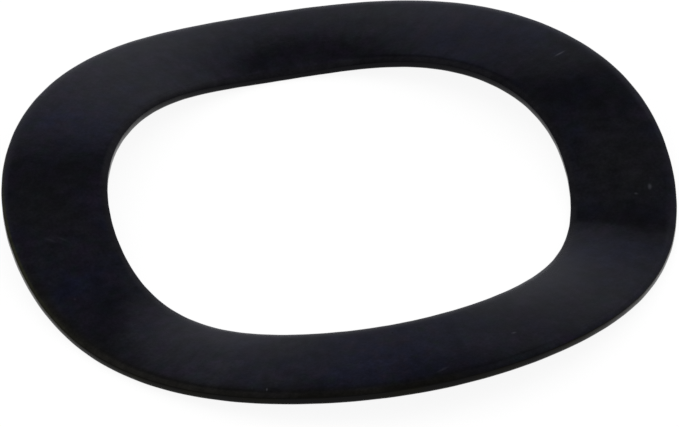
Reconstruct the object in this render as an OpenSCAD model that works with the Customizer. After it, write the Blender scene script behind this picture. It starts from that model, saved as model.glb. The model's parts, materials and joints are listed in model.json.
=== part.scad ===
// Wave washer: a ring punched from spring sheet and formed into waves, so that it pushes back when it is pressed.
// It lies on its troughs on the plane z = 0, with the axis of its bore on Z.

/* [Ring] */
// Outside diameter
outer_d = 20.75; // [18:0.05:26]
// Diameter of the bore
bore_d = 14.2; // [11:0.05:16]
// Thickness of the spring sheet at the middle of the strip
sheet_t = 0.4; // [0.3:0.01:0.6]

/* [Section] */
// How far the upper face falls from the middle of the strip to its walls
crown = 0.09; // [0:0.01:0.15]
// Width of the rounding that the punch draws on the upper edges
roll_w = 0.47; // [0.1:0.01:0.6]
// Depth of that rounding
roll_h = 0.09; // [0.02:0.01:0.15]
// Radius of the tumbled lower edges
edge_r = 0.09; // [0.02:0.01:0.15]
// How far the outer rim stands above the rim of the bore
dish = 0.05; // [0:0.01:0.1]

/* [Waves] */
// Number of waves round the ring
waves = 3; // [2:1:6]
// Height of an even crest above the troughs
wave_h = 0.94; // [0.5:0.01:1.5]
// How much fuller the crests are than the troughs
fullness = 0.17; // [0:0.01:0.4]
// Angle of the first crest from +X
first_crest = 53; // [0:1:119]

/* [Unevenness that the forming leaves] */
// How far each crest stands above the even height
crest_rise = [-0.09, 0.01, 0.08]; // [-0.2:0.01:0.2]
// Degrees that each crest has strayed from its even place
crest_stray = [4, -5, 0]; // [-8:1:8]
// Degrees that the trough after each crest has strayed from its even place
trough_stray = [5, -1, -1]; // [-8:1:8]

/* [Hidden] */

// Stations along each flank, and chords in each stretch of the section
flank_steps = 24;
crown_steps = 2;
roll_steps = 3;
edge_steps = 2;

// The section is measured outwards from the middle of the strip, and up from the underside
strip_r = (outer_d + bore_d)/4;
half_w = (outer_d - bore_d)/4;
// Where the sheet is too thin for all its roundings, they shrink together and leave a wall
fit = min(1, 0.8*sheet_t/(crown + roll_h + edge_r));
roll_from = half_w - roll_w;

function face_z(x) = sheet_t - fit*crown*(x/half_w)^2;
function roll_at(a) = let(x = half_w - roll_w*(1 - sin(a))) [x, face_z(x) - fit*roll_h*(1 - cos(a))];
function edge_at(a) = [half_w - fit*edge_r*(1 - cos(a)), fit*edge_r*(1 - sin(a))];

// The chords next to the wall run on past it to a nose, and the trims cut the wall true
function slope(p, q) = abs((q.y - p.y)/(q.x - p.x));
wall_top = roll_at(90);
wall_foot = edge_at(0);
upper_slope = slope(roll_at(90 - 90/roll_steps), wall_top);
lower_slope = slope(edge_at(90/edge_steps), wall_foot);
nose_out = (wall_top.y - wall_foot.y)/(upper_slope + lower_slope);

outer_half = concat(
    [for (i = [0:crown_steps - 1]) let(x = roll_from*i/crown_steps) [x, face_z(x)]],
    [for (i = [0:roll_steps - 1]) roll_at(90*i/roll_steps)],
    [[half_w + nose_out, wall_foot.y + lower_slope*nose_out]],
    [for (i = [1:edge_steps]) edge_at(90*i/edge_steps)]);
bore_half = [for (i = [len(outer_half) - 1:-1:1]) [-outer_half[i].x, outer_half[i].y]];
section = concat(outer_half, bore_half);

wave_pitch = 360/waves;
crest_heights = [for (i = [0:waves - 1]) wave_h + crest_rise[i % len(crest_rise)]];

// Where crest i stands, and where the trough after it lies
function crest_at(i) = first_crest + wave_pitch*i + crest_stray[i % waves % len(crest_stray)];
function trough_at(i) = first_crest + wave_pitch*(i + 1/2) + trough_stray[i % len(trough_stray)];

// Share of a crest's height at u along its flank, from 1 at the crest (u = 0) to 0 at the trough (u = 1)
function flank_form(u) = let(c = (1 + cos(180*u))/2) c + 2*fullness*c*(1 - c);

// Stations [angle, height] down from a crest, and up to a crest, each without its last point
function down(from, to, h) =
    [for (i = [0:flank_steps - 1]) let(u = i/flank_steps) [from + (to - from)*u, h*flank_form(u)]];
function up(from, to, h) =
    [for (i = [0:flank_steps - 1]) let(u = i/flank_steps) [from + (to - from)*u, h*flank_form(1 - u)]];

stations = [for (i = [0:waves - 1]) each concat(
    down(crest_at(i), trough_at(i), crest_heights[i]),
    up(trough_at(i), crest_at(i + 1), crest_heights[(i + 1) % waves]))];

// The dish lifts the section evenly from the bore outwards
function lift(x) = dish*(1 + x/half_w)/2;

// The formed strip: its section stands at each station, with one height all along the radius but for the dish
module strip() {
    n = len(section);
    m = len(stations);
    points = [for (s = stations, p = section)
        [(strip_r + p.x)*cos(s[0]), (strip_r + p.x)*sin(s[0]), s[1] + p.y + lift(p.x)]];
    faces = [for (i = [0:m - 1], j = [0:n - 1]) let(k = (i + 1) % m, l = (j + 1) % n)
        each [[n*i + j, n*k + l, n*i + l], [n*i + j, n*k + j, n*k + l]]];
    polyhedron(points, faces);
}

// A true cylinder past the top and bottom of the waves
module round_tool(d) {
    translate([0, 0, -sheet_t]) cylinder(d = d, h = max(crest_heights) + dish + 3*sheet_t, $fn = 180);
}

module wave_washer() {
    color([0.10, 0.10, 0.13])
        difference() {
            intersection() {
                strip();
                round_tool(outer_d);
            }
            round_tool(bore_d);
        }
}

wave_washer();
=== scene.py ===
"""A wave washer: a ring of blued spring steel that lies on the troughs of its three waves.

The ring's form is worked out from the same sizes as the CAD part, with finer steps, so that its
reflections run smoothly. It adds what shows in reflections alone: the face is crowned more at the
troughs than at the crests, its rolled edges are narrower, and its rims are slightly uneven.
Lengths are in millimetres where a name ends in _mm or _MM, or where a comment says so, and in metres
elsewhere. Named angles are in degrees, and those round the ring run from its +X.
"""

import json
import math

import bpy
from mathutils import Matrix, Vector


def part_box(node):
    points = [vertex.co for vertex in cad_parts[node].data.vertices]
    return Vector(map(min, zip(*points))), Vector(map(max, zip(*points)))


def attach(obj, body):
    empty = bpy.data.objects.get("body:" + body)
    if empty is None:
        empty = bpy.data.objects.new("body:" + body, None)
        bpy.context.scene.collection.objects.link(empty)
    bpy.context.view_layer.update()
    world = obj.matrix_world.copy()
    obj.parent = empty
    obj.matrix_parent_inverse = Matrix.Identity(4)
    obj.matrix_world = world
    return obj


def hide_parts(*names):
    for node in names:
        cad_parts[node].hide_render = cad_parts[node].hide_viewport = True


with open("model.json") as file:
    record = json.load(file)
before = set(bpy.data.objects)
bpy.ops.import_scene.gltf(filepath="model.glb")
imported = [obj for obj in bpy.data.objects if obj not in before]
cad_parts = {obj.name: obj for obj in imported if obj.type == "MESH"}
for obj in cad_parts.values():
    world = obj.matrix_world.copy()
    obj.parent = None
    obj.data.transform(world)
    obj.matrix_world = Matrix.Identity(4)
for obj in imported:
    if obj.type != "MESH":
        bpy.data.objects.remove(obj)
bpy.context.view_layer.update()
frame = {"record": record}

MM = 0.001
NODE = "wave_washer"

# The ring's sizes: its two diameters are the frame's, and the rest repeats the part's own values, apart
# from the sheet, which is a hair thinner, so that the finer face stays inside the part's box, and the
# rolled edges, which are a little narrower
low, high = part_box(NODE)
OUTER_R_MM = (high.x - low.x) / 2 / MM
BORE_R_MM = frame["record"]["mounts"][0]["dims"]["r_mm"]
SHEET_MM = 0.395
CROWN_MM = 0.09
ROLL_W_MM = 0.32
ROLL_H_MM = 0.075
EDGE_R_MM = 0.09
DISH_MM = 0.05
FULLNESS = 0.17
CREST_ANGLES = [57, 168, 293]
CREST_HEIGHTS_MM = [0.85, 0.95, 1.02]
TROUGH_ANGLES = [118, 232, 352]
# A crest and a trough that lie nearer than this are neighbours, with a flank between them
FLANK_LIMIT = 90
# How much more the face is crowned at a trough, as a share of its crown, and how much less at a crest
# of the even height
SADDLE = 0.46
EVEN_CREST_MM = 0.94

STRIP_R_MM = (OUTER_R_MM + BORE_R_MM) / 2
HALF_W_MM = (OUTER_R_MM - BORE_R_MM) / 2

# The rims' slight unevenness: its depth, and ripples as a count round the ring and a phase in radians
RIM_WEAR_MM = 0.012
RIM_RIPPLES = [(11, 0.4), (23, 1.9), (41, 2.7), (67, 0.9)]

# How finely the ring is divided
ROUND_STEPS = 720
FACE_STEPS = 12
ROLL_STEPS = 8
ROLL_FACE_STEPS = 6
WALL_STEPS = 2
EDGE_STEPS = 5
UNDER_STEPS = 16

# The camera stands where the photographer stood, far off, with a long lens. The scale in pixels of the
# photo, which is IMAGE_W of them wide, holds at the point that the camera is aimed at
IMAGE_W = 679
SENSOR_MM = 36
VIEW_AZIMUTH = 128
VIEW_ELEVATION = 37.345
VIEW_ROLL = 0.76
VIEW_DISTANCE_MM = 373
PIXELS_PER_MM = 32.516
AIM_MM = (0, 0, 0.058)
CLIP_START = 0.01
CLIP_END = 20


# ---------------------------------------------------------------- the ring's form

def flank_form(u):
    """Share of a crest's height at u along its flank, from 1 at the crest to 0 at the trough."""
    c = (1 + math.cos(math.pi * u)) / 2
    return c + 2 * FULLNESS * c * (1 - c)


def wave_mm(angle):
    """Height of the underside's wave at an angle in degrees."""
    for crest, height in zip(CREST_ANGLES, CREST_HEIGHTS_MM):
        for trough in TROUGH_ANGLES:
            ahead = (trough - crest) % 360
            behind = (crest - trough) % 360
            along, back = (angle - crest) % 360, (crest - angle) % 360
            if ahead < FLANK_LIMIT and along <= ahead:
                return height * flank_form(along / ahead)
            if behind < FLANK_LIMIT and back <= behind:
                return height * flank_form(back / behind)
    raise ValueError(angle)


def face_mm(x):
    """Height of the crowned upper face, x from the strip's middle."""
    return SHEET_MM - CROWN_MM * (x / HALF_W_MM) ** 2


def saddle_mm(x, y, wave):
    """What bending the waves adds at height y: the face is crowned more at a trough, less at a crest."""
    share_up = y / SHEET_MM
    return -SADDLE * CROWN_MM * (1 - 2 * wave / EVEN_CREST_MM) * (x / HALF_W_MM) ** 2 * share_up


def outer_half():
    """Half of the section as (x, y, part), from the middle of the upper face out to the rim and back below.

    Each part is what the section is made of from that point on.
    """
    points = []
    roll_from = HALF_W_MM - ROLL_W_MM
    for i in range(FACE_STEPS):
        x = roll_from * i / FACE_STEPS
        points.append((x, face_mm(x), "face"))
    for i in range(ROLL_STEPS + 1):
        a = math.pi / 2 * i / ROLL_STEPS
        x = HALF_W_MM - ROLL_W_MM * (1 - math.sin(a))
        y = face_mm(x) - ROLL_H_MM * (1 - math.cos(a))
        points.append((x, y, "face" if i < ROLL_FACE_STEPS else "wall"))
    top = points[-1][1]
    for i in range(1, WALL_STEPS):
        points.append((HALF_W_MM, top + (EDGE_R_MM - top) * i / WALL_STEPS, "wall"))
    for i in range(EDGE_STEPS + 1):
        a = math.pi / 2 * i / EDGE_STEPS
        x = HALF_W_MM - EDGE_R_MM * (1 - math.cos(a))
        y = EDGE_R_MM * (1 - math.sin(a))
        points.append((x, y, "wall" if i < EDGE_STEPS else "under"))
    under_from = HALF_W_MM - EDGE_R_MM
    for i in range(1, UNDER_STEPS):
        points.append((under_from * (1 - i / UNDER_STEPS), 0, "under"))
    return points


def section():
    """The closed section, outwards along the top, and back along the underside to the bore and up."""
    outer = outer_half()
    middle = (0, 0, "under")
    bore = [(-x, y, part) for x, y, part in reversed(outer[1:])]
    # Towards the bore a part starts at the point where it ends in the outer half
    parts = [part for _, _, part in outer] + [part for _, _, part in reversed(outer[:-1])] + ["face"]
    return [(x, y, part) for (x, y, _), part in zip(outer + [middle] + bore, parts)]


def worn_mm(angle, side):
    """How far tumbling left a rim short of its circle. side is 1 at the outer rim and -1 at the bore."""
    a = math.radians(angle)
    waves = sum(math.sin(turns * a + side * phase) for turns, phase in RIM_RIPPLES)
    return RIM_WEAR_MM * (1 + waves / len(RIM_RIPPLES)) / 2


def ring_mesh():
    """The whole ring as one closed mesh of quads, with the wall faces on material 1."""
    shape = section()
    n = len(shape)
    points, faces, walls = [], [], []
    for i in range(ROUND_STEPS):
        degrees = 360 * i / ROUND_STEPS
        a = math.radians(degrees)
        wave = wave_mm(degrees)
        worn = {1: worn_mm(degrees, 1), -1: worn_mm(degrees, -1)}
        for x, y, part in shape:
            z = wave + y + saddle_mm(x, y, wave) + DISH_MM * (1 + x / HALF_W_MM) / 2
            r = STRIP_R_MM + x * (1 - worn[1 if x > 0 else -1] / HALF_W_MM)
            points.append((r * math.cos(a) * MM, r * math.sin(a) * MM, z * MM))
    for i in range(ROUND_STEPS):
        k = (i + 1) % ROUND_STEPS
        for j in range(n):
            m = (j + 1) % n
            faces.append((n * i + j, n * i + m, n * k + m, n * k + j))
            walls.append(shape[j][2] == "wall")
    mesh = bpy.data.meshes.new("ring")
    mesh.from_pydata(points, [], faces)
    mesh.validate()
    for face, wall in zip(mesh.polygons, walls):
        face.use_smooth = True
        face.material_index = 1 if wall else 0
    mesh.update()
    return mesh


# ---------------------------------------------------------------- materials

def new_material(name):
    """A material with its nodes, its links and its shader."""
    material = bpy.data.materials.new(name)
    material.use_nodes = True
    nodes = material.node_tree.nodes
    return material, nodes, material.node_tree.links, nodes["Principled BSDF"]


def place_mm(nodes, links):
    """Object coordinates in millimetres."""
    coordinates = nodes.new("ShaderNodeTexCoord")
    scale = nodes.new("ShaderNodeVectorMath")
    scale.operation = "SCALE"
    scale.inputs["Scale"].default_value = 1 / MM
    links.new(coordinates.outputs["Object"], scale.inputs[0])
    return scale.outputs[0]


def noise(nodes, links, place, per_mm, detail, roughness=0.55):
    """A soft noise. The more per millimetre, the finer it is."""
    texture = nodes.new("ShaderNodeTexNoise")
    texture.inputs["Scale"].default_value = per_mm
    texture.inputs["Detail"].default_value = detail
    texture.inputs["Roughness"].default_value = roughness
    links.new(place, texture.inputs["Vector"])
    return texture.outputs["Fac"]


def moved(nodes, links, place, offset):
    """The same place, shifted, so that two noises don't run together."""
    add = nodes.new("ShaderNodeVectorMath")
    add.operation = "ADD"
    add.inputs[1].default_value = offset
    links.new(place, add.inputs[0])
    return add.outputs[0]


def spread(nodes, links, value, low_in, high_in, low_out=0.0, high_out=1.0, smooth=False):
    """Stretches a value from one range to another, and holds it there."""
    node = nodes.new("ShaderNodeMapRange")
    if smooth:
        node.interpolation_type = "SMOOTHSTEP"
    node.inputs["From Min"].default_value = low_in
    node.inputs["From Max"].default_value = high_in
    node.inputs["To Min"].default_value = low_out
    node.inputs["To Max"].default_value = high_out
    links.new(value, node.inputs["Value"])
    return node.outputs["Result"]


def blend_colour(nodes, links, share, under, over):
    """Lays the colour over on the colour under, by the socket share. Each is a colour or a socket."""
    mix = nodes.new("ShaderNodeMix")
    mix.data_type = "RGBA"
    links.new(share, mix.inputs["Factor"])
    colours = [entry for entry in mix.inputs if entry.type == "RGBA"]
    for entry, value in zip(colours, (under, over)):
        if isinstance(value, bpy.types.NodeSocket):
            links.new(value, entry)
        else:
            entry.default_value = (*value, 1)
    return [result for result in mix.outputs if result.type == "RGBA"][0]


def patch(nodes, links, place, at, reach):
    """1 at a point, falling softly to 0 at its reach in millimetres."""
    away = moved(nodes, links, place, tuple(-c for c in at))
    length = nodes.new("ShaderNodeVectorMath")
    length.operation = "LENGTH"
    links.new(away, length.inputs[0])
    return spread(nodes, links, length.outputs["Value"], reach, 0.0, smooth=True)


def wobbled(nodes, links, place, per_mm, by):
    """The same place, pushed about by a slow noise, so that a patch has no even outline."""
    push = nodes.new("ShaderNodeTexNoise")
    push.inputs["Scale"].default_value = per_mm
    push.inputs["Detail"].default_value = 4
    links.new(place, push.inputs["Vector"])
    centred = moved(nodes, links, push.outputs["Color"], (-0.5, -0.5, -0.5))
    add = nodes.new("ShaderNodeVectorMath")
    add.operation = "MULTIPLY_ADD"
    add.inputs[1].default_value = (by, by, by)
    links.new(centred, add.inputs[0])
    links.new(place, add.inputs[2])
    return add.outputs[0]


def laid_along(nodes, links, place, at, heading, scale):
    """Places measured from a point, along a heading in degrees and across it, in units of scale."""
    mapping = nodes.new("ShaderNodeMapping")
    mapping.vector_type = "TEXTURE"
    mapping.inputs["Location"].default_value = at
    mapping.inputs["Rotation"].default_value = (0, 0, math.radians(heading))
    mapping.inputs["Scale"].default_value = scale
    links.new(place, mapping.inputs["Vector"])
    return mapping.outputs[0]


def mark(nodes, links, place, at, heading, long, wide):
    """1 within a thin spot of the face, such as a scratch, and 0 away from it."""
    middle = (*at, FACE_HEIGHT_MM)
    size = (long / 2, wide / 2, MARK_DEPTH_MM)
    shape = laid_along(nodes, links, place, middle, heading, size)
    return patch(nodes, links, shape, (0, 0, 0), 1.0)


def from_axis(nodes, links, place):
    """Distance from the ring's axis in millimetres."""
    flat = nodes.new("ShaderNodeVectorMath")
    flat.operation = "MULTIPLY"
    flat.inputs[1].default_value = (1, 1, 0)
    links.new(place, flat.inputs[0])
    length = nodes.new("ShaderNodeVectorMath")
    length.operation = "LENGTH"
    links.new(flat.outputs[0], length.inputs[0])
    return length.outputs["Value"]


def combined(nodes, links, operation, first, second):
    """Two values put together by a math operation. The second is a number or a socket."""
    node = nodes.new("ShaderNodeMath")
    node.operation = operation
    links.new(first, node.inputs[0])
    if isinstance(second, bpy.types.NodeSocket):
        links.new(second, node.inputs[1])
    else:
        node.inputs[1].default_value = second
    return node.outputs[0]


def scaled_colour(nodes, links, colour, level):
    """A colour made darker or paler by a level."""
    node = nodes.new("ShaderNodeVectorMath")
    node.operation = "SCALE"
    links.new(colour, node.inputs[0])
    links.new(level, node.inputs["Scale"])
    return node.outputs[0]


def uneven(nodes, links, place, per_mm, depth_mm):
    """A bump of the given depth."""
    bump = nodes.new("ShaderNodeBump")
    bump.inputs["Strength"].default_value = 1.0
    bump.inputs["Distance"].default_value = depth_mm * MM
    links.new(noise(nodes, links, place, per_mm, 4), bump.inputs["Height"])
    return bump.outputs["Normal"]


# The range in which a noise's values mostly lie
NOISE_RANGE = (0.3, 0.7)

# The oxide's colours
OXIDE = (0.0108, 0.0111, 0.0146)
GREY = (0.0107, 0.0110, 0.0121)
BLUE = (0.0092, 0.0102, 0.0240)
LAVENDER = (0.0132, 0.0108, 0.0196)
TEAL = (0.0086, 0.0120, 0.0150)
PALE = (0.10, 0.10, 0.12)
PIT = (0.002, 0.002, 0.002)
# At a slant the oxide mirrors with this tint
SLANT_TINT = (0.94, 0.95, 1.0)

# Blue blotches all over: how fine they are per mm, the range of the noise that makes them, and their strength
BLUE_PER_MM = 0.8
BLUE_RANGE = (0.45, 0.70)
BLUE_STRENGTH = 0.7
# Other blotches: colour, how fine they are per mm, their own shift, and where their noise starts and ends
BLOTCHES = [(LAVENDER, 1.3, (31, 7, 3), 0.47, 0.65), (TEAL, 1.8, (5, 43, 9), 0.54, 0.72)]

# A height near the face in mm, for places on it. A mark reaches far enough up and down to cross the face
FACE_HEIGHT_MM = 1
MARK_DEPTH_MM = 10
# Where the blue is strongest, as places on the face and their reach in mm
BLUE_AREAS = [
    ((5.7, 6.6), 3.8),
    ((-8.6, -1.2), 3.4),
    ((2.8, -8.3), 2.2),
    ((-2.4, 8.2), 1.8),
    ((8.3, -3.6), 1.5),
]
# Where the oxide is plain grey, in the same way, and how strongly
GREY_AREAS = [((-6.3, 6.0), 3.2), ((6.4, -6.2), 2.0)]
GREY_STRENGTH = 0.8
# Painted shade and painted highlights: where the face is made darker or paler, to stand for its darker and
# brighter reflections, in the same way, with the factor
SHADE_AND_HIGHLIGHT_AREAS = [
    ((-7.7, 2.2), 3.6, 0.72),
    ((9.6, -0.2), 2.8, 1.35),
    ((1.7, -8.6), 2.6, 1.30),
    ((-8.6, -1.0), 2.6, 0.74),
    ((0.9, 8.4), 2.8, 0.72),
    ((7.3, 6.6), 1.8, 1.75),
    ((8.9, 4.4), 1.4, 1.45),
    ((9.5, 2.2), 1.2, 1.50),
    ((-0.9, 7.8), 2.2, 0.66),
    ((-6.7, -3.4), 1.8, 0.70),
    ((-4.8, 7.6), 1.5, 0.55),
    ((-9.4, 2.8), 1.3, 0.50),
    ((-1.9, 7.4), 1.6, 0.65),
]
# How slowly these areas' outlines wander, per mm, and how far in mm
WOBBLE_PER_MM = 0.7
WOBBLE_MM = 3.0

# The rims' own tones are full from here on, measured in from the walls
RIM_FULL_MM = 0.1
# How far the outer rim's brownish tone comes in, and where it is: place and reach in mm, and colour
RIM_TONE_MM = 0.55
RIM_AREAS = [
    ((10.2, 0.0, 0.5), 9.0, (0.0108, 0.0103, 0.0092)),
    ((7.4, 7.2, 0.5), 5.5, (0.0074, 0.0070, 0.0062)),
]
# Between these shares of an area's strength the tone sets in
RIM_AREA_RANGE = (0.1, 0.6)
BORE_RIM = (0.0110, 0.0107, 0.0132)
# Where a paler olive highlight is painted on the outer rim and the wall below it: place and reach in mm
RIM_HIGHLIGHT_AREA = ((8.2, -6.2, 0.5), 6.0)
# The painted highlight line along the outer rim, and how far it comes in from the wall
RIM_HIGHLIGHT_LINE = (0.0240, 0.0250, 0.0150)
RIM_HIGHLIGHT_LINE_MM = 0.13

# The grain: what it runs along, how fine it is per mm, and its depth as a share of the colour
ROLLING_HEADING = 158
ROLLING_STRETCH = 2
GRAIN = [("rolling", 3.0, 0.06), ("face", 2.2, 0.22), ("face", 4.5, 0.12), ("face", 11.0, 0.18)]

# Marks on the face: place in mm, heading in degrees, length and width in mm, colour and strength
MARKS = [
    ((-9.25, 1.55), 169, 0.60, 0.11, PALE, 0.50),
    ((5.51, 8.17), 165, 0.60, 0.14, PALE, 0.20),
    ((-6.25, 7.24), 218, 0.36, 0.18, PALE, 0.46),
    ((-5.74, 7.09), 128, 0.18, 0.13, PALE, 0.30),
    ((9.09, 4.24), 218, 0.20, 0.08, PALE, 0.75),
    ((9.25, 3.80), 218, 0.14, 0.08, PALE, 0.12),
    ((2.71, 8.74), 150, 0.22, 0.12, PALE, 0.38),
    ((7.33, -5.52), 104, 0.60, 0.13, PALE, 0.10),
    ((7.05, -5.25), 104, 0.50, 0.12, PALE, 0.09),
    ((-9.17, 4.47), 128, 0.12, 0.12, PIT, 1.00),
    ((-10.0, -0.75), 128, 0.22, 0.22, PALE, 0.10),
    ((8.76, -3.41), 128, 0.10, 0.10, PALE, 0.16),
    ((4.93, 5.82), 128, 0.10, 0.12, PIT, 0.80),
]

# The face's roughness from its glossiest spots to its dullest, how fine those are per mm, and the
# roughness of the rims, which tumbling dulled
FACE_ROUGH = (0.12, 0.18)
FACE_ROUGH_PER_MM = 1.7
TUMBLED_ROUGH = 0.42
# The face's slight unevenness: how fine it is per mm, and its depth
UNEVEN_PER_MM = 2.5
UNEVEN_MM = 0.004


def blotched(nodes, links, place, wavy):
    """Blue-black oxide in soft blotches, bluer in some areas and grey in others."""
    blue = noise(nodes, links, place, BLUE_PER_MM, 4, 0.6)
    blue = spread(nodes, links, blue, *BLUE_RANGE, 0.0, BLUE_STRENGTH)
    colour = blend_colour(nodes, links, blue, OXIDE, BLUE)
    for at, reach in BLUE_AREAS:
        area = patch(nodes, links, wavy, (*at, FACE_HEIGHT_MM), reach)
        colour = blend_colour(nodes, links, area, colour, BLUE)
    for tone, per_mm, offset, from_value, to_value in BLOTCHES:
        blotches = noise(nodes, links, moved(nodes, links, place, offset), per_mm, 4)
        share = spread(nodes, links, blotches, from_value, to_value)
        colour = blend_colour(nodes, links, share, colour, tone)
    for at, reach in GREY_AREAS:
        area = patch(nodes, links, wavy, (*at, FACE_HEIGHT_MM), reach)
        share = combined(nodes, links, "MULTIPLY", area, GREY_STRENGTH)
        colour = blend_colour(nodes, links, share, colour, GREY)
    return colour


def rimmed(nodes, links, place, colour):
    """The colour with the rims' tones: brownish outside, violet at the bore, and a painted highlight line on
    the outer rim.
    """
    radius = from_axis(nodes, links, place)
    rim = spread(nodes, links, radius, OUTER_R_MM - RIM_TONE_MM, OUTER_R_MM - RIM_FULL_MM, smooth=True)
    for at, reach, tone in RIM_AREAS:
        area = spread(nodes, links, patch(nodes, links, place, at, reach), *RIM_AREA_RANGE)
        share = combined(nodes, links, "MULTIPLY", rim, area)
        colour = blend_colour(nodes, links, share, colour, tone)
    rim = spread(nodes, links, radius, BORE_R_MM + ROLL_W_MM, BORE_R_MM + RIM_FULL_MM, smooth=True)
    colour = blend_colour(nodes, links, rim, colour, BORE_RIM)
    # A painted highlight: a thin paler olive line along the outer rim in one area
    line = spread(nodes, links, radius, OUTER_R_MM - RIM_HIGHLIGHT_LINE_MM, OUTER_R_MM - RIM_HIGHLIGHT_LINE_MM / 2, smooth=True)
    line = combined(nodes, links, "MULTIPLY", line, patch(nodes, links, place, *RIM_HIGHLIGHT_AREA))
    return blend_colour(nodes, links, line, colour, RIM_HIGHLIGHT_LINE)


def grained_with_painted_shade(nodes, links, place, wavy, colour):
    """The colour with a fine grain, and with painted shade and painted highlights: darker or paler in some
    areas.
    """
    rolling = laid_along(nodes, links, place, (0, 0, 0), ROLLING_HEADING, (ROLLING_STRETCH, 1, 1))
    for along, per_mm, depth in GRAIN:
        grain = noise(nodes, links, rolling if along == "rolling" else place, per_mm, 3)
        level = spread(nodes, links, grain, *NOISE_RANGE, 1 - depth, 1 + depth)
        colour = scaled_colour(nodes, links, colour, level)
    # Painted shade and painted highlights: the colour made darker or paler in some areas
    for at, reach, factor in SHADE_AND_HIGHLIGHT_AREAS:
        area = patch(nodes, links, wavy, (*at, FACE_HEIGHT_MM), reach)
        level = spread(nodes, links, area, 0.0, 1.0, 1.0, factor)
        colour = scaled_colour(nodes, links, colour, level)
    return colour


def marked(nodes, links, place, colour):
    """The colour with its scratches, specks and pits."""
    for at, heading, long, wide, tone, strength in MARKS:
        shape = mark(nodes, links, place, at, heading, long, wide)
        share = combined(nodes, links, "MULTIPLY", shape, strength)
        colour = blend_colour(nodes, links, share, colour, tone)
    return colour


def face_roughness(nodes, links, place):
    """Glossy on the face, and dull on the rims."""
    patchy = noise(nodes, links, place, FACE_ROUGH_PER_MM, 5, 0.6)
    rough = spread(nodes, links, patchy, *NOISE_RANGE, *FACE_ROUGH)
    radius = from_axis(nodes, links, place)
    for edge, inwards in ((OUTER_R_MM, -1), (BORE_R_MM, 1)):
        starts = edge + inwards * ROLL_W_MM
        full = edge + inwards * RIM_FULL_MM
        tumbled = spread(nodes, links, radius, starts, full, 0.0, TUMBLED_ROUGH)
        rough = combined(nodes, links, "MAXIMUM", rough, tumbled)
    return rough


def blued_steel():
    """The oxidised faces of the strip."""
    material, nodes, links, shader = new_material("blued_steel_face")
    place = place_mm(nodes, links)
    wavy = wobbled(nodes, links, place, WOBBLE_PER_MM, WOBBLE_MM)
    colour = blotched(nodes, links, place, wavy)
    colour = rimmed(nodes, links, place, colour)
    colour = grained_with_painted_shade(nodes, links, place, wavy, colour)
    colour = marked(nodes, links, place, colour)
    links.new(colour, shader.inputs["Base Color"])
    shader.inputs["Metallic"].default_value = 1.0
    shader.inputs["Specular Tint"].default_value = (*SLANT_TINT, 1)
    links.new(face_roughness(nodes, links, place), shader.inputs["Roughness"])
    links.new(uneven(nodes, links, place, UNEVEN_PER_MM, UNEVEN_MM), shader.inputs["Normal"])
    return material


# The walls' colours: at the bore, at the outer wall, in its olive blotches, and a paler olive painted
# highlight in one area
EDGE_BORE = (0.0092, 0.0090, 0.0104)
EDGE_DARK = (0.0090, 0.0088, 0.0090)
EDGE_OLIVE = (0.0100, 0.0096, 0.0076)
EDGE_HIGHLIGHT = (0.0200, 0.0195, 0.0125)
# The olive blotches: how fine they are per mm, and the range of the noise that makes them
OLIVE_PER_MM = 0.8
OLIVE_RANGE = (0.40, 0.65)
# The walls' roughness from the glossiest spots to the dullest, and how fine those are per mm
EDGE_ROUGH = (0.24, 0.34)
EDGE_ROUGH_PER_MM = 6


def cut_edge():
    """The walls that the punch left, and the tumbled edges below them."""
    material, nodes, links, shader = new_material("blued_steel_edge")
    place = place_mm(nodes, links)
    outside = spread(nodes, links, from_axis(nodes, links, place), STRIP_R_MM, OUTER_R_MM)
    colour = blend_colour(nodes, links, outside, EDGE_BORE, EDGE_DARK)
    olive = spread(nodes, links, noise(nodes, links, place, OLIVE_PER_MM, 3), *OLIVE_RANGE)
    olive = combined(nodes, links, "MULTIPLY", olive, outside)
    colour = blend_colour(nodes, links, olive, colour, EDGE_OLIVE)
    # A painted highlight: the outer wall paler olive in one area
    worn = combined(nodes, links, "MULTIPLY", patch(nodes, links, place, *RIM_HIGHLIGHT_AREA), outside)
    colour = blend_colour(nodes, links, worn, colour, EDGE_HIGHLIGHT)
    links.new(colour, shader.inputs["Base Color"])
    shader.inputs["Metallic"].default_value = 1.0
    rough = noise(nodes, links, place, EDGE_ROUGH_PER_MM, 3)
    rough = spread(nodes, links, rough, *NOISE_RANGE, *EDGE_ROUGH)
    links.new(rough, shader.inputs["Roughness"])
    return material


# ---------------------------------------------------------------- the ring

def make_ring():
    """The ring itself, which stands for the part's only node."""
    ring = bpy.data.objects.new("wave_washer_ring", ring_mesh())
    bpy.context.scene.collection.objects.link(ring)
    ring.data.materials.append(blued_steel())
    ring.data.materials.append(cut_edge())
    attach(ring, "root")
    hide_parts(NODE)


# ---------------------------------------------------------------- stage, light and camera

# The floor: how wide it is, how much it glows, the colour that takes the shadow, and its plain white, for
# light that bounces on from it
FLOOR_SIDE = 4.0
FLOOR_GLOW = 0.90
FLOOR_COLOUR = (0.20, 0.20, 0.20)
FLOOR_WHITE = (0.8, 0.8, 0.8)
# What the ring mirrors above the floor, as brightness at each elevation: the white sweep, the gap above
# it, and the ceiling
STUDIO = [(0, 0.34), (8, 0.48), (16, 0.66), (37, 0.66), (42, 0.34), (47, 0.36), (55, 0.61), (90, 0.59)]
# Two soft lamps that brighten the studio at the sides: degrees to the picture's right of straight away,
# degrees up, width and height in degrees, and what each adds to the brightness there
LAMPS = [("right", 43, 38, 40, 32, 0.22), ("left", -64, 50, 44, 26, 0.34)]
LAMP_DISTANCE = 1.2


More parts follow.
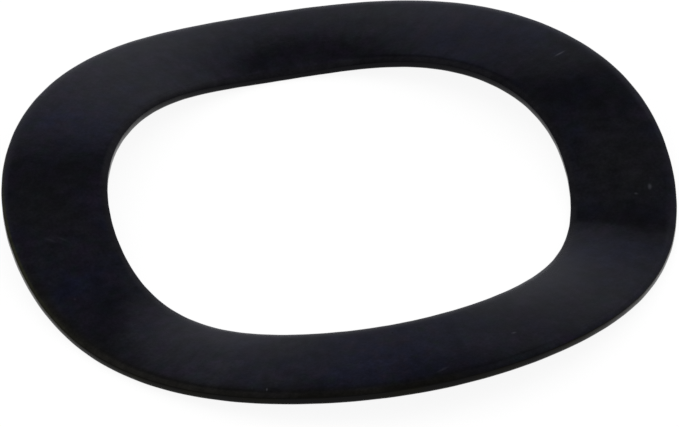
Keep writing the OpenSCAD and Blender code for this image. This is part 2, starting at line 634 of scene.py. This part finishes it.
def floor_material():
    """White with the ring's soft shadow, to the camera and in reflections, and plain white elsewhere."""
    material, nodes, links, shader = new_material("floor")
    nodes.remove(shader)
    glow = nodes.new("ShaderNodeEmission")
    glow.inputs["Strength"].default_value = FLOOR_GLOW
    matt = nodes.new("ShaderNodeBsdfDiffuse")
    matt.inputs["Color"].default_value = (*FLOOR_COLOUR, 1)
    both = nodes.new("ShaderNodeAddShader")
    links.new(glow.outputs[0], both.inputs[0])
    links.new(matt.outputs[0], both.inputs[1])
    plain = nodes.new("ShaderNodeBsdfDiffuse")
    plain.inputs["Color"].default_value = (*FLOOR_WHITE, 1)
    choose = nodes.new("ShaderNodeMixShader")
    links.new(seen_or_mirrored(nodes, links), choose.inputs["Fac"])
    links.new(plain.outputs[0], choose.inputs[1])
    links.new(both.outputs[0], choose.inputs[2])
    links.new(choose.outputs[0], nodes["Material Output"].inputs["Surface"])
    return material


def seen_or_mirrored(nodes, links):
    """1 for what the camera sees, straight, in a reflection or through glass."""
    path = nodes.new("ShaderNodeLightPath")
    seen = path.outputs["Is Camera Ray"]
    for name in ("Is Glossy Ray", "Is Transmission Ray"):
        seen = combined(nodes, links, "MAXIMUM", seen, path.outputs[name])
    return seen


def make_floor():
    """The white ground that the ring lies on."""
    half = FLOOR_SIDE / 2
    corners = [(-half, -half, 0), (half, -half, 0), (half, half, 0), (-half, half, 0)]
    mesh = bpy.data.meshes.new("floor")
    mesh.from_pydata(corners, [], [(0, 1, 2, 3)])
    mesh.materials.append(floor_material())
    floor = bpy.data.objects.new("floor", mesh)
    bpy.context.scene.collection.objects.link(floor)


def ramp(nodes, links, share, stops):
    """Brightness that runs evenly from stop to stop, each a (share, level)."""
    node = nodes.new("ShaderNodeValToRGB")
    elements = node.color_ramp.elements
    while len(elements) < len(stops):
        elements.new(0.5)
    for element, (at, level) in zip(elements, stops):
        element.position = at
        element.color = (level, level, level, 1)
    links.new(share, node.inputs["Fac"])
    return node.outputs["Color"]


def make_world():
    """The studio that the ring mirrors, and plain white wherever the camera sees past the floor."""
    world = bpy.data.worlds.new("studio")
    bpy.context.scene.world = world
    world.use_nodes = True
    nodes, links = world.node_tree.nodes, world.node_tree.links
    background = nodes["Background"]
    coordinates = nodes.new("ShaderNodeTexCoord")
    split = nodes.new("ShaderNodeSeparateXYZ")
    links.new(coordinates.outputs["Generated"], split.inputs[0])
    elevation = nodes.new("ShaderNodeMath")
    elevation.operation = "ARCSINE"
    links.new(split.outputs["Z"], elevation.inputs[0])
    share = spread(nodes, links, elevation.outputs[0], 0.0, math.pi / 2)
    rise = ramp(nodes, links, share, [(degrees / 90, level) for degrees, level in STUDIO])
    path = nodes.new("ShaderNodeLightPath")
    strength = nodes.new("ShaderNodeMix")
    strength.data_type = "FLOAT"
    links.new(path.outputs["Is Camera Ray"], strength.inputs["Factor"])
    links.new(rise, strength.inputs["A"])
    strength.inputs["B"].default_value = 1.0
    links.new(strength.outputs["Result"], background.inputs["Strength"])
    background.inputs["Color"].default_value = (1, 1, 1, 1)


def make_lamps():
    """Large soft lamps far off to both sides, each as wide and high as it looks from the ring."""
    a = math.radians(VIEW_AZIMUTH)
    away, right = Vector((-math.sin(a), math.cos(a), 0)), Vector((math.cos(a), math.sin(a), 0))
    for name, side, up, wide, high, level in LAMPS:
        side, up = math.radians(side), math.radians(up)
        level_towards = away * math.cos(side) + right * math.sin(side)
        towards = level_towards * math.cos(up) + Vector((0, 0, math.sin(up)))
        data = bpy.data.lights.new("lamp_" + name, "AREA")
        data.shape = "RECTANGLE"
        data.size = 2 * LAMP_DISTANCE * math.tan(math.radians(wide) / 2)
        data.size_y = 2 * LAMP_DISTANCE * math.tan(math.radians(high) / 2)
        data.energy = level * math.pi * data.size * data.size_y
        lamp = bpy.data.objects.new("lamp_" + name, data)
        lamp.location = towards * LAMP_DISTANCE
        lamp.rotation_mode = "QUATERNION"
        lamp.rotation_quaternion = towards.to_track_quat("Z", "Y")
        lamp.visible_camera = False
        bpy.context.scene.collection.objects.link(lamp)


def make_camera():
    """The photo's camera, aimed at the ring with a slight roll."""
    data = bpy.data.cameras.new("camera")
    data.sensor_width = SENSOR_MM
    data.lens = SENSOR_MM * PIXELS_PER_MM * VIEW_DISTANCE_MM / IMAGE_W
    data.clip_start = CLIP_START
    data.clip_end = CLIP_END
    camera = bpy.data.objects.new("camera", data)
    bpy.context.scene.collection.objects.link(camera)
    a, e = math.radians(VIEW_AZIMUTH), math.radians(VIEW_ELEVATION)
    back = Vector((math.sin(a) * math.cos(e), -math.cos(a) * math.cos(e), math.sin(e)))
    camera.rotation_mode = "QUATERNION"
    level = (-back).to_track_quat("-Z", "Y")
    roll = Matrix.Rotation(math.radians(-VIEW_ROLL), 3, "Z").to_quaternion()
    camera.rotation_quaternion = level @ roll
    camera.location = (Vector(AIM_MM) + back * VIEW_DISTANCE_MM) * MM
    bpy.context.scene.camera = camera


make_ring()
make_floor()
make_world()
make_lamps()
make_camera()
bpy.context.scene.view_settings.view_transform = "Standard"
